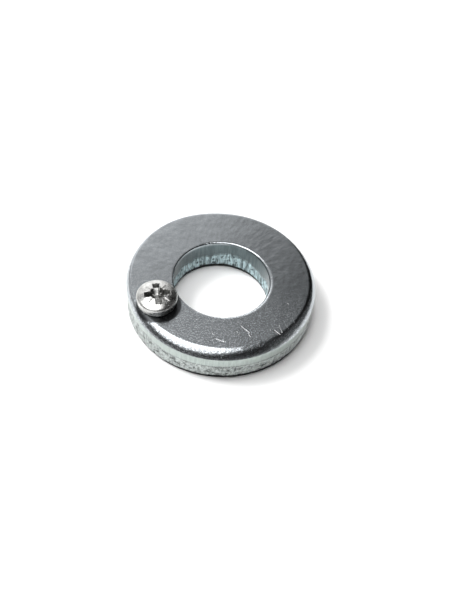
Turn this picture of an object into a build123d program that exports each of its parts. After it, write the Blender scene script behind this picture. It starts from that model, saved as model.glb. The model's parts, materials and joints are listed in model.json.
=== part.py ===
"""Punched steel shaft collar with one pan-head machine screw in its face.

Millimetres. +Z is up along the bore, and the origin is on the bore's axis at the bottom face.
"""

from build123d import *
from math import cos, radians, sin, sqrt, tan
import os

# ---------------------------------------------------------------- collar ring
OUTER_R = 19.0  # outside radius, at the burnished band
BORE_R = 9.65  # clears a 19 mm shaft by 0.15 mm all round
THICKNESS = 7.5

ROLL_WIDTH = 1.75  # the press rolls the top edge over: this far in from the side
ROLL_DROP = 1.7  # and this far down from the top face
BURNISH_HEIGHT = 2.05  # smooth sheared band below the rolled edge
TEAR_STEP = 0.06  # the torn band starts this far inside the burnished one
TEAR_LEAN = 0.07  # and leans in this much more on its way down
BREAKOUT_HEIGHT = 0.9  # the last of the metal breaks away inwards
BREAKOUT_WIDTH = 0.5

BORE_LIP_WIDTH = 0.42  # the bore's upper edge is rolled over too, much less
BORE_LIP_DROP = 0.3
BORE_TEAR_HEIGHT = 3.7  # the lower part of the bore is torn, and flares out
BORE_TEAR_FLARE = 0.12
BORE_BREAK_HEIGHT = 0.8  # the bore's lower edge is broken away too
BORE_BREAK_WIDTH = 0.45

# ---------------------------------------------------------- M4 x 6 pan-head screw
THREAD_R = 1.97  # M4 major radius, a little under nominal
THREAD_ROOT_R = 1.57
PITCH = 0.7
CREST_WIDTH = 0.12  # flat top of the ridge
FLANK_ANGLE = 30.0  # each flank, from square to the axis
SCREW_LENGTH = 6.0  # under the head
TIP_CHAMFER = 0.55
RUN_OUT = 0.45  # plain neck between the head and the first thread
NECK_FILLET = 0.2

HEAD_R = 4.0
HEAD_HEIGHT = 3.1
HEAD_SIDE = 1.8  # height at which the head's side meets its dome
HEAD_FOOT_R = 3.92  # the side leans in a little on its way down
HEAD_SEAT_R = 3.4  # and its lower edge turns in to the seat
HEAD_EDGE = 0.5  # over this height

RECESS_REACH = 2.55  # centre to the end of an arm, at the top
RECESS_ARM_WIDTH = 1.3
RECESS_DEPTH = 2.0
RECESS_TAPER = 11.0
RECESS_TURN = 15.0  # the cross stands a little turned in the head
RECESS_SHIFT = (0.1, -0.15)  # and was punched a little off its centre
RIB_REACH = 1.5  # a square rib slot in each corner between two arms
RIB_WIDTH = 0.7
RIB_DEPTH = 1.6
RIB_TAPER = 6.0
TICK_REACH = 2.8  # four fine lines struck outwards from those corners
TICK_WIDTH = 0.14

# ------------------------------------------------------------ where the screw stands
SCREW_CIRCLE_R = 14.3  # midway across the face
SCREW_BEARING = -148.0
HOLE_CLEARANCE = 0.05  # the tapped hole is a smooth wall just outside the thread
HOLE_CHAMFER = 0.35

hole_r = THREAD_R + HOLE_CLEARANCE
screw_x = SCREW_CIRCLE_R * cos(radians(SCREW_BEARING))
screw_y = SCREW_CIRCLE_R * sin(radians(SCREW_BEARING))

# heights and radii on the ring's section
lip_z = THICKNESS - BORE_LIP_DROP
bore_foot_r = BORE_R + BORE_TEAR_FLARE
roll_z = THICKNESS - ROLL_DROP
tear_z = roll_z - BURNISH_HEIGHT
tear_top_r = OUTER_R - TEAR_STEP
tear_foot_r = tear_top_r - TEAR_LEAN
breakout_r = tear_foot_r - BREAKOUT_WIDTH

with BuildPart() as collar_ring:
    with BuildSketch(Plane.XZ):
        with BuildLine():
            Polyline(
                (BORE_R, lip_z),
                (BORE_R, BORE_TEAR_HEIGHT),
                (bore_foot_r, BORE_BREAK_HEIGHT),
                (bore_foot_r + BORE_BREAK_WIDTH, 0),
                (breakout_r, 0),
                (tear_foot_r, BREAKOUT_HEIGHT),
                (tear_top_r, tear_z - TEAR_STEP),
                (OUTER_R, tear_z),
                (OUTER_R, roll_z),
            )
            EllipticalCenterArc(
                (OUTER_R - ROLL_WIDTH, roll_z), ROLL_WIDTH, ROLL_DROP, start_angle=0, arc_size=90
            )
            Line((OUTER_R - ROLL_WIDTH, THICKNESS), (BORE_R + BORE_LIP_WIDTH, THICKNESS))
            EllipticalCenterArc(
                (BORE_R + BORE_LIP_WIDTH, lip_z), BORE_LIP_WIDTH, BORE_LIP_DROP, start_angle=90, arc_size=90
            )
        make_face()
    revolve(axis=Axis.Z)
    # the tapped hole, with a lead-in chamfer at both faces
    with Locations((screw_x, screw_y, THICKNESS)):
        Hole(radius=hole_r, depth=THICKNESS)
    hole_rims = collar_ring.edges().filter_by(GeomType.CIRCLE).filter_by(
        lambda edge: abs(edge.radius - hole_r) < 0.001
    )
    chamfer(hole_rims, length=HOLE_CHAMFER)
collar_ring.part.label = "collar_ring"

# The screw is drawn about its own axis with the head's seat at height 0, then set in place.
dome_rise = HEAD_HEIGHT - HEAD_SIDE
thread_depth = THREAD_R - THREAD_ROOT_R
root_width = CREST_WIDTH + 2 * thread_depth * tan(radians(FLANK_ANGLE))
tip_r = THREAD_R - TIP_CHAMFER
buried = 0.1  # the ridge starts this far inside the core, so that the two join

seat = Plane(origin=(screw_x, screw_y, THICKNESS))
seat_section = Plane(origin=seat.origin, x_dir=(1, 0, 0), z_dir=(0, -1, 0))

with BuildPart() as pan_head_screw:
    # head and core
    with BuildSketch(seat_section):
        with BuildLine() as half:
            Line((0, HEAD_HEIGHT), (0, -SCREW_LENGTH))
            Polyline(
                (0, -SCREW_LENGTH),
                (tip_r, -SCREW_LENGTH),
                (THREAD_ROOT_R, THREAD_ROOT_R - tip_r - SCREW_LENGTH),
                (THREAD_ROOT_R, -NECK_FILLET),
            )
            RadiusArc((THREAD_ROOT_R, -NECK_FILLET), (THREAD_ROOT_R + NECK_FILLET, 0), -NECK_FILLET)
            Polyline(
                (THREAD_ROOT_R + NECK_FILLET, 0),
                (HEAD_SEAT_R, 0),
                (HEAD_FOOT_R, HEAD_EDGE),
                (HEAD_R, HEAD_SIDE),
            )
            EllipticalCenterArc((0, HEAD_SIDE), HEAD_R, dome_rise, start_angle=0, arc_size=90)
        make_face()
    revolve(axis=Axis(seat.origin, (0, 0, 1)))

    # the cross recess: four arms, a rib slot in each corner, and four fine lines beyond those
    recess = Plane(origin=seat.origin + Vector(*RECESS_SHIFT, 0))
    crown = recess.offset(HEAD_HEIGHT)
    with BuildSketch(crown):
        with Locations(Rotation(0, 0, RECESS_TURN), Rotation(0, 0, RECESS_TURN + 90)):
            Rectangle(2 * RECESS_REACH, RECESS_ARM_WIDTH)
    extrude(amount=-RECESS_DEPTH, taper=RECESS_TAPER, mode=Mode.SUBTRACT)
    with BuildSketch(crown):
        with Locations(Rotation(0, 0, RECESS_TURN + 45), Rotation(0, 0, RECESS_TURN + 135)):
            Rectangle(2 * RIB_REACH, RIB_WIDTH)
    extrude(amount=-RIB_DEPTH, taper=RIB_TAPER, mode=Mode.SUBTRACT)
    tick_floor = HEAD_SIDE + dome_rise * sqrt(1 - (TICK_REACH / HEAD_R) ** 2)
    with BuildSketch(recess.offset(tick_floor)):
        with Locations(Rotation(0, 0, RECESS_TURN + 45), Rotation(0, 0, RECESS_TURN + 135)):
            Rectangle(2 * TICK_REACH, TICK_WIDTH)
    extrude(amount=dome_rise, mode=Mode.SUBTRACT)

    # the helical ridge, trimmed to a chamfer at the tip
    with BuildLine(seat.offset(-SCREW_LENGTH - PITCH / 2)):
        thread_path = Helix(
            pitch=PITCH, height=SCREW_LENGTH + PITCH / 2 - RUN_OUT, radius=THREAD_ROOT_R
        )
    with BuildSketch(Plane(origin=thread_path @ 0, x_dir=(1, 0, 0), z_dir=thread_path % 0)):
        with BuildLine():
            Polyline(
                (-buried, -root_width / 2),
                (0, -root_width / 2),
                (thread_depth, -CREST_WIDTH / 2),
                (thread_depth, CREST_WIDTH / 2),
                (0, root_width / 2),
                (-buried, root_width / 2),
                close=True,
            )
        make_face()
    sweep(path=thread_path, is_frenet=True)
    beyond = THREAD_R + buried
    with BuildSketch(seat_section):
        with BuildLine():
            Polyline(
                (0, -SCREW_LENGTH),
                (tip_r, -SCREW_LENGTH),
                (beyond, beyond - tip_r - SCREW_LENGTH),
                (beyond, -SCREW_LENGTH - PITCH),
                (0, -SCREW_LENGTH - PITCH),
                close=True,
            )
        make_face()
    revolve(axis=Axis(seat.origin, (0, 0, 1)), mode=Mode.SUBTRACT)
pan_head_screw.part.label = "pan_head_screw"

os.makedirs("parts", exist_ok=True)
export_step(collar_ring.part, "parts/collar_ring.step")
export_step(pan_head_screw.part, "parts/pan_head_screw.step")
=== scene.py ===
"""The finished look of a punched steel shaft collar and the pan-head screw in its face.

Laid out as an add-on. Run as a script it makes every piece in turn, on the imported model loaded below.
Lengths are in metres. The collar stands on its bottom face with its bore along +Z.
"""

import json
import math
import random

import bmesh
import bpy
import numpy as np
from bpy.props import FloatProperty, FloatVectorProperty, PointerProperty
from mathutils import Matrix, Vector, noise


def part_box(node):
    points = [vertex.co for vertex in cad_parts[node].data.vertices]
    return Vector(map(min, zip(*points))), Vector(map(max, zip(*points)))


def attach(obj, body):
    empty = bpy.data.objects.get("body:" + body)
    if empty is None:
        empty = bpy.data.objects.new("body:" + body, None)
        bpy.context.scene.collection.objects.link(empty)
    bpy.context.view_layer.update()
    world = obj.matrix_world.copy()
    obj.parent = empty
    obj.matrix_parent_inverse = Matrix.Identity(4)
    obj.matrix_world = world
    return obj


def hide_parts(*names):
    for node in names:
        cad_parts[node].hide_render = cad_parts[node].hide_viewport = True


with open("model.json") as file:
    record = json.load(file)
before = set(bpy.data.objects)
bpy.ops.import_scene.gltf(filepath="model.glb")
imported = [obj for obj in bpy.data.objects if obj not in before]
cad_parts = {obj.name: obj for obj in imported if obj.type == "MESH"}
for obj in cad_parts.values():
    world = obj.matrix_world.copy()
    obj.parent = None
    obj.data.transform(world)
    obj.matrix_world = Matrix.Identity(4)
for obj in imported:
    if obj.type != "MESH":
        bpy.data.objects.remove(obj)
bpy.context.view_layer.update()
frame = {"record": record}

bl_info = {
    "name": "Punched Shaft Collar",
    "version": (1, 0, 0),
    "blender": (4, 5, 0),
    "location": "3D View > Sidebar > Shaft Collar",
    "description": "Makes a zinc-plated punched shaft collar and its pan-head screw",
    "category": "Add Mesh",
}

MM = 0.001
TAU = 2 * math.pi

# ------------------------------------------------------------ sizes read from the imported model
ring_low, ring_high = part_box("collar_ring")
screw_low, screw_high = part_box("pan_head_screw")
mounts = {m["name"]: m for m in frame["record"]["mounts"]}

OUTER_R = ring_high.x
FACE_Z = ring_high.z
BORE_R = mounts["bore"]["dims"]["r_mm"] * MM
SCREW_X = (screw_low.x + screw_high.x) / 2
SCREW_Y = (screw_low.y + screw_high.y) / 2
HEAD_R = (screw_high.x - screw_low.x) / 2
TIP_Z = screw_low.z


# ------------------------------------------------------------ what a user may change
def length(name, description, default):
    """A length setting shown in scene units."""
    return FloatProperty(name=name, description=description, default=default * MM, unit="LENGTH", precision=5)


def colour(name, description, default):
    """A colour setting."""
    return FloatVectorProperty(
        name=name, description=description, default=default, subtype="COLOR", size=3, min=0, max=1
    )


class CollarRingSettings(bpy.types.PropertyGroup):
    roll_width: length("Roll width", "How far in from the side the upper edge is rolled over", 2.0)
    roll_drop: length("Roll drop", "How far down from the face the upper edge is rolled over", 1.7)
    burnish: length("Burnished band", "Height of the smooth sheared band on the outside", 2.05)
    breakout: length("Breakout", "Height of the broken lower edge on the outside", 0.9)
    breakout_width: length("Breakout width", "How far in the broken lower edge reaches", 0.26)
    lip: length("Bore lip", "Mean width of the bore's rolled upper edge", 0.42)
    lip_shift: length("Bore lip shift", "How much the lip widens at one side and narrows at the other", 0.22)
    bore_tear: length("Bore tear height", "Height up to which the bore is torn", 3.7)
    bore_break: length("Bore break", "Height of the broken lower edge in the bore", 0.8)
    hole: length("Screw hole radius", "Wall of the tapped hole", 2.02)
    plate: colour("Zinc plate", "Colour of the plated face", (0.42, 0.445, 0.465))
    wall_plate: colour("Wall plate", "Colour of the plate on the sheared outer band", (0.36, 0.405, 0.385))
    torn_plate: colour("Torn plate", "Colour of the plate over the torn bands", (0.40, 0.43, 0.42))
    bore_plate: colour("Bore plate", "Colour of the plate in the bore", (0.10, 0.125, 0.13))


class PanHeadScrewSettings(bpy.types.PropertyGroup):
    head_side: length("Head side", "Height of the head's side wall", 1.8)
    head_height: length("Head height", "Height of the whole head", 3.1)
    head_foot: length("Head foot radius", "Radius of the head just above its lower edge", 3.84)
    head_edge: length("Head lower edge", "Height over which the lower edge turns in to the seat", 0.5)
    seat: length("Seat radius", "Radius of the head where it seats", 3.35)
    recess_reach: length("Recess reach", "Centre of the head to the end of an arm", 2.55)
    recess_width: length("Recess arm width", "Width of one arm of the cross", 1.3)
    rib_reach: length("Rib reach", "Centre of the head to the end of a corner rib slot", 1.5)
    rib_width: length("Rib width", "Width of a corner rib slot", 0.7)
    tick_reach: length("Tick reach", "Centre of the head to the end of a struck line", 2.8)
    recess_turn: FloatProperty(
        name="Recess turn", description="How far the cross is turned in the head",
        default=math.radians(15), subtype="ANGLE",
    )
    recess_shift_x: length("Recess shift X", "How far off centre the cross was punched, along X", 0.1)
    recess_shift_y: length("Recess shift Y", "How far off centre the cross was punched, along Y", -0.15)
    recess_depth: length("Recess depth", "Depth of the cross at the middle", 2.0)
    thread: length("Thread radius", "Major radius of the thread", 1.97)
    root: length("Root radius", "Root radius of the thread", 1.57)
    pitch: length("Pitch", "Rise of the thread in one turn", 0.7)
    plate: colour("Zinc plate", "Colour of the plated screw", (0.62, 0.62, 0.605))


class CollarStageSettings(bpy.types.PropertyGroup):
    distance: length("Camera distance", "Camera to the middle of the bottom face", 185.7)
    elevation: FloatProperty(
        name="Camera elevation", description="Angle of the view above the floor",
        default=math.radians(50.8), subtype="ANGLE",
    )
    roll: FloatProperty(
        name="Camera roll", description="Lean of the camera about its own axis",
        default=math.radians(5.75), subtype="ANGLE",
    )
    lens: FloatProperty(
        name="Lens", description="Focal length of the camera", default=53.9, subtype="DISTANCE_CAMERA"
    )
    floor_tone: colour("Floor", "Colour of the floor", (0.95, 0.95, 0.95))


# ------------------------------------------------------------ shape helpers
def smooth(low, high, value):
    """0 below low, 1 above high, and an even curve between."""
    t = np.clip((value - low) / (high - low), 0, 1)
    return t * t * (3 - 2 * t)


def rough(points, size, octaves=3, seed=0.0):
    """Fractal noise from about -1 to 1 at each point, with features about size across."""
    scaled = points / size + seed
    return np.array([noise.fractal(Vector(p), 0.7, 2.0, octaves) for p in scaled])


def turn_points(radius, height, turns):
    """Points of a surface of revolution: radius and height by station, angles by column."""
    x = radius * np.cos(turns)
    y = radius * np.sin(turns)
    return np.stack([x, y, np.broadcast_to(height, x.shape)], -1)


def grid_faces(rows, columns, closed_rows):
    """Quads of a grid whose columns go round, and whose rows close up too if asked."""
    last = rows if closed_rows else rows - 1
    faces = []
    for i in range(last):
        for j in range(columns):
            a, b = i * columns + j, i * columns + (j + 1) % columns
            c, d = ((i + 1) % rows) * columns + (j + 1) % columns, ((i + 1) % rows) * columns + j
            faces.append((a, b, c, d))
    return faces


def new_piece(name, mesh, material, body, node):
    """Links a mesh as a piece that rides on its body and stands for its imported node."""
    piece = bpy.data.objects.new(name, mesh)
    bpy.context.scene.collection.objects.link(piece)
    mesh.materials.append(material)
    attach(piece, body)
    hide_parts(node)
    return piece


# ------------------------------------------------------------ node helpers
class Nodes:
    """Short calls for building a material's node tree."""

    def __init__(self, name):
        self.material = bpy.data.materials.new(name)
        self.material.use_nodes = True
        self.tree = self.material.node_tree
        self.shader = self.tree.nodes["Principled BSDF"]
        self.place = self.add("ShaderNodeTexCoord").outputs["Object"]

    def add(self, kind, inputs=None, **settings):
        node = self.tree.nodes.new(kind)
        for key, value in settings.items():
            setattr(node, key, value)
        for key, value in (inputs or {}).items():
            if isinstance(value, bpy.types.NodeSocket):
                self.tree.links.new(value, node.inputs[key])
            else:
                node.inputs[key].default_value = value
        return node

    def math(self, operation, a, b=0.0, c=0.0, clamp=False):
        return self.add("ShaderNodeMath", {0: a, 1: b, 2: c}, operation=operation, use_clamp=clamp).outputs[0]

    def vector(self, operation, a, b=(0, 0, 0), output="Vector", **inputs):
        return self.add("ShaderNodeVectorMath", {0: a, 1: b, **inputs}, operation=operation).outputs[output]

    def noise(self, size, detail=2.0, place=None, roughness=0.5):
        inputs = {"Vector": place or self.place, "Scale": 1 / size, "Detail": detail, "Roughness": roughness}
        return self.add("ShaderNodeTexNoise", inputs).outputs["Fac"]

    def ramp(self, value, low, high, to_low=0.0, to_high=1.0):
        inputs = {"Value": value, "From Min": low, "From Max": high, "To Min": to_low, "To Max": to_high}
        return self.add("ShaderNodeMapRange", inputs, interpolation_type="SMOOTHSTEP").outputs["Result"]

    def mix(self, amount, a, b):
        node = self.add("ShaderNodeMix", {"Factor": amount}, data_type="RGBA")
        for index, value in ((6, a), (7, b)):
            if isinstance(value, bpy.types.NodeSocket):
                self.tree.links.new(value, node.inputs[index])
            else:
                node.inputs[index].default_value = value
        return node.outputs[2]

    def blend(self, amount, a, b):
        return self.add("ShaderNodeMix", {"Factor": amount, 2: a, 3: b}, data_type="FLOAT").outputs[0]

    def mask(self, name):
        return self.add("ShaderNodeAttribute", attribute_name=name).outputs["Fac"]

    def bump(self, height, distance, strength=1.0, under=None):
        inputs = {"Height": height, "Distance": distance, "Strength": strength}
        if under:
            inputs["Normal"] = under
        return self.add("ShaderNodeBump", inputs).outputs["Normal"]

    def set(self, **inputs):
        for key, value in inputs.items():
            socket = self.shader.inputs[key.replace("_", " ")]
            if isinstance(value, bpy.types.NodeSocket):
                self.tree.links.new(value, socket)
            else:
                socket.default_value = value


def rgba(colour_value, factor=1.0):
    """A colour setting as four numbers, lightened or darkened."""
    return tuple(min(1.0, c * factor) for c in colour_value) + (1.0,)


def short_scratches(nodes, cell, line, share):
    """1 along short hairlines, at most one to a cell, each at its own angle."""
    cells = nodes.add("ShaderNodeTexVoronoi", {"Vector": nodes.place, "Scale": 1 / cell})
    pick = nodes.add("ShaderNodeSeparateColor", {"Color": cells.outputs["Color"]})
    offset = nodes.vector("SUBTRACT", nodes.place, cells.outputs["Position"])
    angle = nodes.math("MULTIPLY", pick.outputs[0], TAU)
    turned = nodes.add(
        "ShaderNodeVectorRotate", {"Vector": offset, "Angle": angle}, rotation_type="Z_AXIS"
    ).outputs["Vector"]
    part = nodes.add("ShaderNodeSeparateXYZ", {"Vector": turned})
    across = nodes.ramp(nodes.math("ABSOLUTE", part.outputs["Y"]), line * 0.3, line, 1.0, 0.0)
    along = nodes.ramp(nodes.math("ABSOLUTE", part.outputs["X"]), cell * 0.1, cell * 0.38, 1.0, 0.0)
    chosen = nodes.math("LESS_THAN", pick.outputs[1], share)
    return nodes.math("MULTIPLY", nodes.math("MULTIPLY", across, along), chosen)


def struck_lines(nodes, lines):
    """1 along straight scratches, each given by its two ends in plan and its half width."""
    flat = nodes.vector("MULTIPLY", nodes.place, (1, 1, 0))
    total = 0.0
    for x0, y0, x1, y1, width in lines:
        start, span = Vector((x0, y0, 0)) * MM, Vector((x1 - x0, y1 - y0, 0)) * MM
        reach = nodes.vector("SUBTRACT", flat, start)
        along = nodes.vector("DOT_PRODUCT", reach, span / span.length_squared, "Value")
        nearest = nodes.vector("SCALE", tuple(span), Scale=nodes.math("MULTIPLY", along, 1.0, clamp=True))
        away = nodes.vector("LENGTH", nodes.vector("SUBTRACT", reach, nearest), output="Value")
        total = nodes.math("MAXIMUM", total, nodes.ramp(away, width * 0.4 * MM, width * MM, 1.0, 0.0))
    return total


# ------------------------------------------------------------ collar ring
def struck_marks():
    """A few short marks, mostly over the front of the face: two ends in plan and half width, all in mm."""
    draw = random.Random(4)
    marks = []
    for _ in range(10):
        bearing = math.radians(draw.gauss(-75, 30))
        out = draw.uniform(11.5, 16.5)
        heading = math.radians(draw.gauss(-50, 25))
        reach = 0.3 + 2.2 * draw.random() ** 3
        x, y = out * math.cos(bearing), out * math.sin(bearing)
        marks.append((x, y, x + reach * math.cos(heading), y + reach * math.sin(heading), 0.08))
    return marks


def ring_material(settings):
    """Bright zinc over punched steel: satin face, drawn shear band, pitted torn bands, painted shade in the
    pits, along the tear line and on the broken lower edges, and a painted shadow beside the head.
    """
    n = Nodes("zinc_plated_ring")
    # the seam and pit masks carry painted shade: along the tear line and the broken lower edges, and in the
    # pits
    torn, pit_shade, bore, wall, seam = (n.mask(name) for name in ("torn", "pit_shade", "bore", "wall", "seam"))
    spot = n.add("ShaderNodeSeparateXYZ", {"Vector": n.place})
    rubbed = n.ramp(spot.outputs["Y"], 3 * MM, -15 * MM)
    patches = n.noise(6 * MM, 3)
    grain = n.noise(0.32 * MM, 3, roughness=0.75)
    specks = n.noise(0.25 * MM, 2)
    drawn = n.noise(0.42 * MM, 3, n.vector("MULTIPLY", n.place, (1, 1, 0.1)), 0.65)
    mottle = n.noise(0.45 * MM, 4, roughness=0.75)
    scratches = n.math(
        "MULTIPLY", short_scratches(n, 1.6 * MM, 0.03 * MM, 0.3), n.blend(rubbed, 0.1, 0.5)
    )
    scratches = n.math("MAXIMUM", scratches, struck_lines(n, struck_marks()))

    # the face: even and satin at the back, speckled with bright grains where it has been rubbed
    face_tone = n.mix(n.ramp(patches, 0.3, 0.7), rgba(settings.plate, 0.93), rgba(settings.plate, 1.06))
    bright = n.math("MULTIPLY", n.ramp(specks, 0.5, 0.62), n.blend(rubbed, 0.12, 0.9))
    speckled = n.mix(bright, face_tone, rgba(settings.plate, 2.0))
    dull = n.math("MULTIPLY", n.ramp(grain, 0.47, 0.36), n.blend(rubbed, 0.1, 0.6))
    speckled = n.mix(dull, speckled, rgba(settings.plate, 0.6))
    face = n.mix(n.math("MULTIPLY", scratches, 0.65), speckled, (0.85, 0.85, 0.85, 1))

    # a painted shadow on the face beside and in front of the head, standing in for the head's shadow and its
    # dark reflection
    head_shadow_distance = n.vector("DISTANCE", n.place, (SCREW_X + 0.45 * MM, SCREW_Y - 0.65 * MM, FACE_Z), "Value")
    face = n.mix(n.ramp(head_shadow_distance, 4.6 * MM, 4.2 * MM, 0, 0.92), face, rgba(settings.plate, 0.1))

    # the sheared bands, drawn up and down, and the torn bands, painted darker in their pits as shade
    streaks = n.ramp(drawn, 0.35, 0.65)
    wall_tone = n.mix(streaks, rgba(settings.wall_plate, 0.9), rgba(settings.wall_plate, 1.1))
    bore_tone = n.mix(streaks, rgba(settings.bore_plate, 0.85), rgba(settings.bore_plate, 1.15))
    smooth_tone = n.mix(bore, n.mix(wall, face, wall_tone), bore_tone)
    rugged = n.mix(n.ramp(mottle, 0.38, 0.6), rgba(settings.torn_plate, 0.65), rgba(settings.torn_plate, 1.4))
    fibres = n.mix(n.ramp(drawn, 0.38, 0.56), rgba(settings.bore_plate, 1.9), rgba(settings.bore_plate, 5.4))
    torn_tone = n.mix(bore, rugged, fibres)
    # the pits are painted darker than the torn band: painted shade
    pit_shade_tone = n.mix(bore, rgba(settings.torn_plate, 0.16), rgba(settings.bore_plate, 0.45))
    torn_with_pit_shade = n.mix(pit_shade, torn_tone, pit_shade_tone)
    tone = n.mix(torn, smooth_tone, torn_with_pit_shade)

    face_grain = n.math("MULTIPLY", grain, n.blend(rubbed, 0.25, 1.0))
    relief = n.blend(torn, face_grain, n.blend(bore, mottle, drawn))
    shallow = n.bump(relief, 0.03 * MM, n.blend(torn, 0.35, 0.8), n.bump(patches, 0.25 * MM, 0.12))
    # the seam mask paints the tear line and the broken lower edges near black: painted shade in the crease
    # and a painted shadow under the edges
    n.set(
        Base_Color=n.mix(seam, tone, rgba(settings.torn_plate, 0.05)),
        Metallic=1.0,
        Roughness=n.blend(torn, n.blend(rubbed, 0.2, 0.24), n.ramp(mottle, 0.3, 0.7, 0.38, 0.6)),
        Normal=n.bump(scratches, -0.02 * MM, 0.8, shallow),
    )
    return n.material


def ring_profile(s, turns):
    """Stations round the ring's section, from the underside, up the outside and down the bore.

    Returns radius, height, how torn each station is and how much painted shade it carries, all by station and
    by angle.
    """
    spot = np.stack([np.cos(turns), np.sin(turns), 0 * turns], -1)
    ones = np.ones_like(turns)
    left = smooth(0.45, 0.95, -np.cos(turns + 0.35))
    roll_drop = s.roll_drop * (0.76 - 0.24 * np.sin(turns) - 0.2 * left)
    roll_drop = roll_drop + 0.05 * MM * rough(spot, 0.4, 2, 4.9)
    roll_width = s.roll_width * (0.77 - 0.23 * np.sin(turns) - 0.3 * left)
    roll_z = FACE_Z - roll_drop
    waver = 0.10 * MM * rough(spot, 0.5, 4, 3.1) + 0.05 * MM * rough(spot, 0.06, 2, 8.2)
    high_side = smooth(0.55, 0.95, -np.cos(turns - 0.15))
    tear_z = FACE_Z - s.roll_drop - s.burnish * (1 - 0.55 * high_side) + waver * (1 + 2 * high_side)
    # the broken lower edges carry a painted shadow and are taller where that shadow should be wider: outside
    # towards the front right, in the bore towards the back left
    break_z = s.breakout * (0.7 + 0.35 * np.cos(turns + 0.6)) + 0.12 * MM * rough(spot, 0.25, 4, 5.7)
    bore_break_z = s.bore_break * (0.65 + 0.35 * np.cos(turns - 2.0)) + 0.08 * MM * rough(spot, 0.25, 3, 2.7)
    bore_tear_z = s.bore_tear + 0.9 * MM * rough(spot, 0.45, 4, 1.3)
    step = 0.06 * MM
    seam = (0.16 * MM + 0.10 * MM * rough(spot, 0.12, 3, 6.3)) * (1 - 0.7 * high_side)
    flare = 0.12 * MM
    foot_r = OUTER_R - step - 0.07 * MM
    stations = []

    def stop(radius, height, torn, painted_shade=0.0):
        stations.append((radius * ones, height * ones, torn * ones, painted_shade * ones))

    def run(count, start, end, torn):
        for t in np.linspace(0, 1, count, endpoint=False):
            stop(start[0] + (end[0] - start[0]) * t, start[1] + (end[1] - start[1]) * t, torn)

    bore_foot_r = BORE_R + flare + bore_break_z * 0.32
    run(8, (bore_foot_r, 0), (foot_r - s.breakout_width, 0), 0.3)
    # the broken lower edge outside, painted near black as a shadow
    for t in np.linspace(0, 1, 9, endpoint=False):
        stop(foot_r - s.breakout_width * (1 - t), break_z * t, 1.0, 1.0)
    run(16, (foot_r, break_z), (OUTER_R - step, tear_z - seam), 1.0)
    stop(OUTER_R - step, tear_z - seam, 1.0)
    # the tear line, painted dark as shade in its crease
    stop(OUTER_R - step - 0.08 * MM, tear_z - 0.6 * seam, 0.8, 1.0)
    stop(OUTER_R - 0.02 * MM, tear_z - 0.02 * MM, 0.3, 0.8)
    run(8, (OUTER_R, tear_z), (OUTER_R, roll_z - 0.06 * MM), 0.0)
    stop(OUTER_R, roll_z - 0.03 * MM, 0.0)
    for t in [0.995, 0.98] + np.linspace(0.95, 0, 17, endpoint=False).tolist():
        stop(OUTER_R - roll_width * (1 - t), FACE_Z - roll_drop * t**2.1, 0.0)
    lip = s.lip + s.lip_shift * np.cos(turns + 0.5) + 0.05 * MM * rough(spot, 0.2, 3, 2.9)
    lip = lip + 0.06 * MM * rough(spot, 0.035, 3, 7.1)
    lip_drop = 0.9 * lip
    run(27, (OUTER_R - roll_width, FACE_Z), (BORE_R + lip, FACE_Z), 0.0)
    for t in np.linspace(0, math.pi / 2, 6, endpoint=False):
        stop(BORE_R + lip * (1 - math.sin(t)), FACE_Z - lip_drop * (1 - math.cos(t)), 0.0)
    run(6, (BORE_R, FACE_Z - lip_drop), (BORE_R, bore_tear_z + 0.05 * MM), 0.0)
    run(2, (BORE_R, bore_tear_z + 0.05 * MM), (BORE_R + 0.05 * MM, bore_tear_z), 0.6)
    run(13, (BORE_R + 0.05 * MM, bore_tear_z), (BORE_R + flare, bore_break_z), 1.0)
    # the broken lower edge in the bore, painted near black as a shadow
    for t in np.linspace(0, 1, 5, endpoint=False):
        stop(BORE_R + flare + (bore_foot_r - BORE_R - flare) * t, bore_break_z * (1 - t), 1.0, 1.0)
    return [np.array(column) for column in zip(*stations)]


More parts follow.
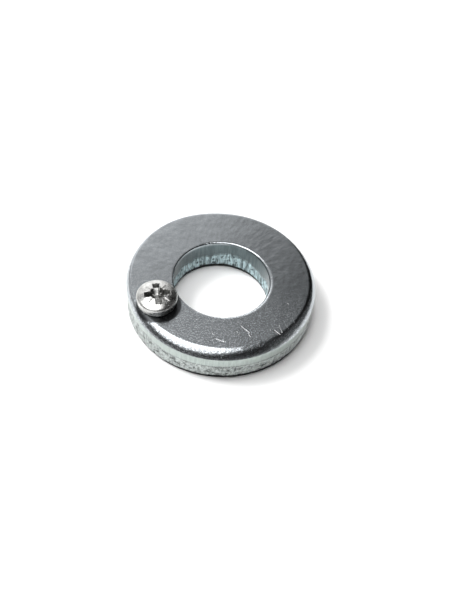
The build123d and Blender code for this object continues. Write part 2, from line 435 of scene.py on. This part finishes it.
def ring_mesh(s):
    """The ring's skin, with its torn bands roughened, its edge nicked and a tapped hole through it."""
    columns = 768
    turns = np.linspace(0, TAU, columns, endpoint=False)
    radius, height, torn, painted_shade = ring_profile(s, turns)
    rows = len(radius)
    points = turn_points(radius, height, turns).reshape(-1, 3)
    flat_torn = torn.reshape(-1)
    outward = points * (1, 1, 0)
    outward /= np.linalg.norm(outward, axis=1)[:, None]
    in_bore = radius.reshape(-1) < BORE_R + 0.4 * MM
    away = np.where(in_bore, 1.0, -1.0)[:, None] * outward

    upright = points * (1, 1, 0.3)
    tearing = rough(upright, 0.5 * MM, 3, 4.4)
    pits = rough(points, 0.8 * MM, 3, 9.1)
    depth = 0.05 * MM * (tearing + 0.7) + 0.12 * MM * smooth(0.2, 0.7, pits)
    depth = np.clip(depth, 0, 0.25 * MM) * flat_torn * (points[:, 2] > 0.02 * MM)
    points += away * depth[:, None]
    # the torn bands are painted darker where they are pushed in: painted shade in the pits
    hollows = smooth(0.2, 0.6, pits) * 0.8 + smooth(0.1, 0.6, tearing) * 0.5
    pit_shade_mask = np.clip(hollows, 0, 1) * flat_torn

    wavy = rough(points, 1.1 * MM, 2, 6.6)
    nicks = smooth(0.35, 0.75, rough(points, 0.55 * MM, 3, 5.2))
    face = smooth(FACE_Z - s.roll_drop, FACE_Z, points[:, 2])
    edge = face * smooth(0.01 * MM, 0.15 * MM, FACE_Z - points[:, 2])
    points[:, 2] -= face * 0.008 * MM * (wavy + 1) + edge * 0.035 * MM * nicks
    points += away * (edge * 0.02 * MM * nicks)[:, None]

    lowered = FACE_Z - points[:, 2]
    masks = {
        "torn": flat_torn,
        "pit_shade": pit_shade_mask,
        # painted shade along the tear line and on the broken lower edges
        "seam": painted_shade.reshape(-1),
        "bore": in_bore * smooth(0.1 * MM, 0.4 * MM, lowered),
        "wall": ~in_bore * (radius.reshape(-1) > OUTER_R - 0.01 * MM) + ~in_bore * (lowered > s.roll_drop),
    }
    bm = bmesh.new()
    layers = [bm.verts.layers.float.new(name) for name in masks]
    values = zip(*[np.asarray(mask, float).tolist() for mask in masks.values()])
    verts = []
    for place, marks in zip(points.tolist(), values):
        vert = bm.verts.new(place)
        for layer, mark in zip(layers, marks):
            vert[layer] = mark
        verts.append(vert)
    for corners in grid_faces(rows, columns, True):
        bm.faces.new([verts[i] for i in corners])
    tap_hole(bm, s)
    mesh = bpy.data.meshes.new("collar_ring_skin")
    bm.to_mesh(mesh)
    bm.free()
    mesh.shade_smooth()
    return mesh


def tap_hole(bm, s):
    """Cuts the screw's hole from face to face, with a chamfer at each end and thread grooves between."""
    around = 96
    mouth = s.hole + 0.35 * MM
    clear = mouth + 0.25 * MM
    middle = Vector((SCREW_X, SCREW_Y, 0))
    doomed = [v for v in bm.verts if math.hypot(v.co.x - middle.x, v.co.y - middle.y) < clear]
    bmesh.ops.delete(bm, geom=doomed, context="VERTS")
    rims = [e for e in bm.edges if e.is_boundary]
    pitch = 0.7 * MM
    rows = 60
    rings = []
    angles = [TAU * j / around for j in range(around)]
    for i in range(rows + 1):
        level = i / rows
        z = FACE_Z * (1 - level)
        edge = min(z, FACE_Z - z)
        ring = []
        for angle in angles:
            wave = (z / pitch - angle / TAU) % 1.0
            groove = 0.16 * MM * max(0.0, 1 - abs(wave - 0.5) * 3)
            radius = max(s.hole + groove, mouth - edge) if edge > 0 else mouth
            height = z - 0.012 * MM if i == 0 else z
            place = (middle.x + radius * math.cos(angle), middle.y + radius * math.sin(angle), height)
            ring.append(bm.verts.new(place))
        rings.append(ring)
    for upper, lower in zip(rings, rings[1:]):
        for j in range(around):
            k = (j + 1) % around
            bm.faces.new((upper[j], upper[k], lower[k], lower[j]))
    for ring, on_top in ((rings[0], True), (rings[-1], False)):
        loop = [bm.edges.get((ring[j], ring[(j + 1) % around])) for j in range(around)]
        rim = [e for e in rims if (e.verts[0].co.z > FACE_Z / 2) == on_top]
        bmesh.ops.triangle_fill(bm, edges=loop + rim, use_beauty=True)
    bmesh.ops.recalc_face_normals(bm, faces=bm.faces)


class COLLAR_OT_ring(bpy.types.Operator):
    """Make the punched ring"""

    bl_idname = "collar.ring"
    bl_label = "Collar Ring"

    def execute(self, context):
        settings = context.scene.collar_ring
        mesh = ring_mesh(settings)
        new_piece("ring", mesh, ring_material(settings), "collar", "collar_ring")
        return {"FINISHED"}


# ------------------------------------------------------------ pan-head screw
def screw_material(settings):
    """Bright zinc on a cold-headed screw, painted darker down in the cross recess as shade."""
    n = Nodes("zinc_plated_screw")
    grain = n.noise(0.18 * MM, 3)
    patches = n.noise(1.6 * MM, 3)
    recess_shade = n.mask("recess_shade")
    scratches = short_scratches(n, 1.1 * MM, 0.03 * MM, 0.6)
    tone = n.mix(n.ramp(patches, 0.35, 0.65), rgba(settings.plate, 0.82), rgba(settings.plate, 1.1))
    # the cross recess painted darker: painted shade
    shaded = n.mix(recess_shade, tone, rgba(settings.plate, 0.55))
    n.set(
        Base_Color=n.mix(n.math("MULTIPLY", scratches, 0.4), shaded, (0.95, 0.95, 0.95, 1)),
        Metallic=1.0,
        Roughness=n.ramp(n.math("ADD", grain, n.math("MULTIPLY", patches, 0.5)), 0.5, 1.0, 0.22, 0.36),
        Normal=n.bump(
            scratches, -0.015 * MM, 0.7, n.bump(grain, 0.015 * MM, 0.35, n.bump(patches, 0.12 * MM, 0.25))
        ),
    )
    return n.material


def box_distance(x, y, half_x, half_y):
    """Signed distance in plan to a rectangle about the origin, negative inside."""
    dx, dy = np.abs(x) - half_x, np.abs(y) - half_y
    outside = np.hypot(np.maximum(dx, 0), np.maximum(dy, 0))
    return outside + np.minimum(np.maximum(dx, dy), 0)


def recess_cut(s, x, y):
    """Depth of the cross recess, and the distances in plan to its outline and its struck lines."""
    x, y = x - s.recess_shift_x, y - s.recess_shift_y
    u = x * math.cos(s.recess_turn) + y * math.sin(s.recess_turn)
    v = y * math.cos(s.recess_turn) - x * math.sin(s.recess_turn)
    a, b = (u + v) / math.sqrt(2), (v - u) / math.sqrt(2)
    half, rib, line = s.recess_width / 2, s.rib_width / 2, 0.06 * MM
    cross = np.minimum(box_distance(u, v, s.recess_reach, half), box_distance(u, v, half, s.recess_reach))
    ribs = np.minimum(box_distance(a, b, s.rib_reach, rib), box_distance(a, b, rib, s.rib_reach))
    ticks = np.minimum(box_distance(a, b, s.tick_reach, line), box_distance(a, b, line, s.tick_reach))
    floor = s.recess_depth - 0.9 * MM * smooth(0.9 * MM, 2.5 * MM, np.hypot(x, y))
    depth = np.clip(-cross * 6, 0, floor)
    rib_depth = np.clip(-ribs * 8, 0, floor * 0.75)
    tick_depth = np.clip(-ticks * 3, 0, 0.16 * MM)
    return np.maximum(np.maximum(depth, rib_depth), tick_depth), np.minimum(cross, ribs), ticks


def screw_mesh(s):
    """One closed skin: dome with its recess, side, seat, neck, thread and tip, round the screw's own axis."""
    columns = 360
    turns = np.linspace(0, TAU, columns, endpoint=False)
    rise = s.head_height - s.head_side - 0.03 * MM
    stations = []
    for out in np.linspace(0.02 * MM, 0.86 * HEAD_R, 104):
        stations.append((out, s.head_side + rise * math.sqrt(1 - (out / HEAD_R) ** 2)))
    dome_rows = len(stations)
    for t in np.linspace(math.acos(0.86), 0, 14)[1:]:
        stations.append((HEAD_R * math.cos(t), s.head_side + rise * math.sin(t)))
    for t in np.linspace(0, 1, 9)[1:]:
        lean = (s.head_foot - HEAD_R) * t**1.5
        stations.append((HEAD_R + lean, s.head_side * (1 - t) + s.head_edge * t))
    for t in np.linspace(0, math.pi / 2, 7)[1:]:
        turned_in = (s.head_foot - s.seat) * (1 - math.cos(t))
        stations.append((s.head_foot - turned_in, s.head_edge * (1 - math.sin(t))))
    for out in np.linspace(s.seat, s.root + 0.2 * MM, 6)[1:]:
        stations.append((out, 0))
    for t in np.linspace(0, math.pi / 2, 5)[1:]:
        stations.append((s.root + 0.2 * MM * (1 - math.sin(t)), -0.2 * MM * (1 - math.cos(t))))
    head_rows = len(stations)
    length_below = FACE_Z - TIP_Z
    for z in np.linspace(-0.25 * MM, -length_below, 104):
        stations.append((s.root, z))
    stations.append((s.root * 0.5, -length_below))
    radius = np.array([a for a, _ in stations])[:, None] * np.ones(columns)
    height = np.array([b for _, b in stations])[:, None] * np.ones(columns)

    # the helical ridge, faded out at the neck and chamfered at the tip
    z = height[head_rows:-1]
    wave = np.abs((z / s.pitch - turns / TAU) % 1.0 - 0.5) * s.pitch
    depth = s.thread - s.root
    flank = math.tan(math.radians(30))
    ridge = np.clip((0.06 * MM + depth * flank - wave) / flank, 0, depth)
    ridge *= 1 - smooth(-0.75 * MM, -0.3 * MM, z)
    limit = s.thread - 0.55 * MM + (z + length_below)
    radius[head_rows:-1] = np.minimum(radius[head_rows:-1] + ridge, limit)

    # the recess, its raised burr, and the small unevenness of a headed blank
    x, y = radius * np.cos(turns), radius * np.sin(turns)
    on_dome = np.arange(len(radius))[:, None] < dome_rows
    cut, outline, ticks = recess_cut(s, x, y)
    points = np.stack([x, y, height], -1).reshape(-1, 3)
    uneven = rough(points, 0.9 * MM, 3, 2.2).reshape(radius.shape)
    fine = rough(points, 0.3 * MM, 2, 7.7).reshape(radius.shape)
    burr = 0.06 * MM * np.exp(-((outline - 0.07 * MM) / (0.07 * MM)) ** 2) * (0.6 + 0.8 * fine)
    burr += 0.03 * MM * np.exp(-((ticks - 0.05 * MM) / (0.05 * MM)) ** 2) * (0.6 + 0.8 * fine) * (cut <= 0)
    inner = 1 - smooth(3.0 * MM, 3.3 * MM, radius)
    lift = np.where(on_dome, (burr - cut) * inner + 0.015 * MM * (uneven - 1) * (cut <= 0), 0)
    height = height + lift
    height = np.minimum(height, screw_high.z - FACE_Z - 0.001 * MM)
    # how far down in the recess, for the painted shade there
    recess_shade = np.where(on_dome, smooth(0.05 * MM, 0.8 * MM, cut), 0)

    place = np.stack([x + SCREW_X, y + SCREW_Y, height + FACE_Z], -1).reshape(-1, 3)
    rows = len(radius)
    faces = grid_faces(rows, columns, False)
    top = len(place)
    crown = place[:columns].mean(0)
    tip = place[-columns:].mean(0)
    place = np.vstack([place, crown, tip])
    for j in range(columns):
        k = (j + 1) % columns
        faces.append((top, k, j))
        faces.append((top + 1, (rows - 1) * columns + j, (rows - 1) * columns + k))
    mesh = bpy.data.meshes.new("pan_head_screw_skin")
    mesh.from_pydata(place.tolist(), [], faces)
    shade = mesh.attributes.new("recess_shade", "FLOAT", "POINT")
    shade.data.foreach_set("value", np.append(recess_shade.reshape(-1), [1.0, 0.0]).astype(np.float32))
    bm = bmesh.new()
    bm.from_mesh(mesh)
    bmesh.ops.recalc_face_normals(bm, faces=bm.faces)
    bm.to_mesh(mesh)
    bm.free()
    mesh.shade_smooth()
    return mesh


class COLLAR_OT_screw(bpy.types.Operator):
    """Make the pan-head screw"""

    bl_idname = "collar.screw"
    bl_label = "Pan-Head Screw"

    def execute(self, context):
        settings = context.scene.pan_head_screw
        mesh = screw_mesh(settings)
        new_piece("screw", mesh, screw_material(settings), "screw", "pan_head_screw")
        return {"FINISHED"}


# ------------------------------------------------------------ stage
# azimuth from +Y towards +X, elevation, inner and outer half-angle in degrees, strength
STUDIO_CARDS = {
    "window behind": (-14, 20, 5, 34, 2.0),
    "fill behind the left": (-55, 45, 5, 50, 0.7),
    "key at the front left": (-140, 60, 25, 40, 3.0),
    "horizon at the left": (-70, 5, 0, 40, 0.4),
    "faint fill at the right": (90, 10, 0, 45, 0.15),
}


def soft_sky(world, cards):
    """Lights the world by soft round cards: azimuth, elevation, inner and outer half-angle, strength."""
    world.use_nodes = True
    tree = world.node_tree
    tree.nodes.clear()
    out = tree.nodes.new("ShaderNodeOutputWorld")
    background = tree.nodes.new("ShaderNodeBackground")
    place = tree.nodes.new("ShaderNodeTexCoord").outputs["Generated"]
    total = background.inputs["Strength"]
    for azimuth, elevation, inner, outer, strength in cards:
        a, e = math.radians(azimuth), math.radians(elevation)
        dot = tree.nodes.new("ShaderNodeVectorMath")
        dot.operation = "DOT_PRODUCT"
        tree.links.new(place, dot.inputs[0])
        dot.inputs[1].default_value = (math.cos(e) * math.sin(a), math.cos(e) * math.cos(a), math.sin(e))
        card = tree.nodes.new("ShaderNodeMapRange")
        card.interpolation_type = "SMOOTHSTEP"
        card.inputs["From Min"].default_value = math.cos(math.radians(outer))
        card.inputs["From Max"].default_value = math.cos(math.radians(inner))
        card.inputs["To Max"].default_value = strength
        tree.links.new(dot.outputs["Value"], card.inputs["Value"])
        add = tree.nodes.new("ShaderNodeMath")
        add.inputs[1].default_value = 0
        tree.links.new(card.outputs["Result"], add.inputs[0])
        tree.links.new(add.outputs[0], total)
        total = add.inputs[1]
    tree.links.new(background.outputs[0], out.inputs["Surface"])


def lamp(name, place, size, power):
    """A square soft lamp at place, facing the collar."""
    data = bpy.data.lights.new(name, "AREA")
    data.size = size
    data.energy = power
    light = bpy.data.objects.new(name, data)
    bpy.context.scene.collection.objects.link(light)
    light.location = place
    light.rotation_euler = (-Vector(place)).to_track_quat("-Z", "Y").to_euler()
    return light


def floor_material(settings):
    """Matt white card with a barely visible tooth."""
    n = Nodes("pale_floor")
    tooth = n.noise(0.4 * MM, 2)
    drift = n.noise(60 * MM, 2)
    tone = n.mix(n.ramp(drift, 0.3, 0.7), rgba(settings.floor_tone, 0.985), rgba(settings.floor_tone, 1.0))
    n.set(Base_Color=tone, Roughness=n.ramp(tooth, 0.3, 0.7, 0.7, 0.8), Normal=n.bump(tooth, 0.01 * MM, 0.1))
    return n.material


class COLLAR_OT_stage(bpy.types.Operator):
    """Make the floor, the lights and the camera"""

    bl_idname = "collar.stage"
    bl_label = "Stage"

    def execute(self, context):
        scene = context.scene
        s = scene.collar_stage
        scene.view_settings.view_transform = "Standard"
        half = 1.5
        mesh = bpy.data.meshes.new("floor")
        corners = [(-half, -half, 0), (half, -half, 0), (half, half, 0), (-half, half, 0)]
        mesh.from_pydata(corners, [], [(0, 1, 2, 3)])
        floor = bpy.data.objects.new("floor", mesh)
        scene.collection.objects.link(floor)
        mesh.materials.append(floor_material(s))

        # the floor sweeps up out of sight of the metal
        columns = 96
        bend = 0.5
        tilt = np.linspace(0, math.pi / 2, 13)
        sweep = np.append(1.0 + bend * np.sin(tilt), 1.0 + bend)[:, None] * np.ones(columns)
        climb = np.append(bend * (1 - np.cos(tilt)), 2.0)[:, None] * np.ones(columns)
        mesh = bpy.data.meshes.new("cove")
        points = turn_points(sweep, climb, np.linspace(0, TAU, columns, endpoint=False)).reshape(-1, 3)
        mesh.from_pydata(points.tolist(), [], grid_faces(len(sweep), columns, False))
        mesh.shade_smooth()
        cove = bpy.data.objects.new("cove", mesh)
        scene.collection.objects.link(cove)
        mesh.materials.append(floor.material_slots[0].material)
        cove.visible_glossy = cove.visible_diffuse = cove.visible_shadow = False

        world = scene.world or bpy.data.worlds.new("soft_studio")
        scene.world = world
        soft_sky(world, STUDIO_CARDS.values())
        world.cycles_visibility.diffuse = False
        lamp("overhead", (-0.05, 0, 0.20), 0.15, 0.15)
        lamp("floor_left", (-0.72, 0.30, 0.90), 0.60, 16.6).visible_glossy = False
        lamp("floor_top", (0, 0, 1.20), 0.52, 7.0).visible_glossy = False

        e = s.elevation
        camera_data = bpy.data.cameras.new("camera")
        camera_data.lens = s.lens
        camera_data.sensor_width = 36
        camera_data.clip_start = 0.01
        camera = bpy.data.objects.new("camera", camera_data)
        scene.collection.objects.link(camera)
        place = Vector((0, -math.cos(e), math.sin(e))) * s.distance
        aim = Vector((1.31 * MM, 0.56 * MM, 0))
        look = (aim - place).to_track_quat("-Z", "Y")
        camera.matrix_world = (
            Matrix.Translation(place) @ look.to_matrix().to_4x4() @ Matrix.Rotation(s.roll, 4, "Z")
        )
        scene.camera = camera
        return {"FINISHED"}


# ------------------------------------------------------------ add-on
class COLLAR_PT_panel(bpy.types.Panel):
    bl_idname = "COLLAR_PT_panel"
    bl_label = "Shaft Collar"
    bl_space_type = "VIEW_3D"
    bl_region_type = "UI"
    bl_category = "Shaft Collar"

    def draw(self, context):
        scene = context.scene
        for operator, settings in (
            (COLLAR_OT_ring, scene.collar_ring),
            (COLLAR_OT_screw, scene.pan_head_screw),
            (COLLAR_OT_stage, scene.collar_stage),
        ):
            box = self.layout.box()
            box.operator(operator.bl_idname)
            for name in settings.__annotations__:
                box.prop(settings, name)


CLASSES = (
    CollarRingSettings,
    PanHeadScrewSettings,
    CollarStageSettings,
    COLLAR_OT_ring,
    COLLAR_OT_screw,
    COLLAR_OT_stage,
    COLLAR_PT_panel,
)


def register():
    for each in CLASSES:
        bpy.utils.register_class(each)
    bpy.types.Scene.collar_ring = PointerProperty(type=CollarRingSettings)
    bpy.types.Scene.pan_head_screw = PointerProperty(type=PanHeadScrewSettings)
    bpy.types.Scene.collar_stage = PointerProperty(type=CollarStageSettings)


def unregister():
    del bpy.types.Scene.collar_stage
    del bpy.types.Scene.pan_head_screw
    del bpy.types.Scene.collar_ring
    for each in reversed(CLASSES):
        bpy.utils.unregister_class(each)


def main():
    register()
    bpy.ops.collar.stage()
    bpy.ops.collar.ring()
    bpy.ops.collar.screw()


if __name__ == "__main__":
    main()
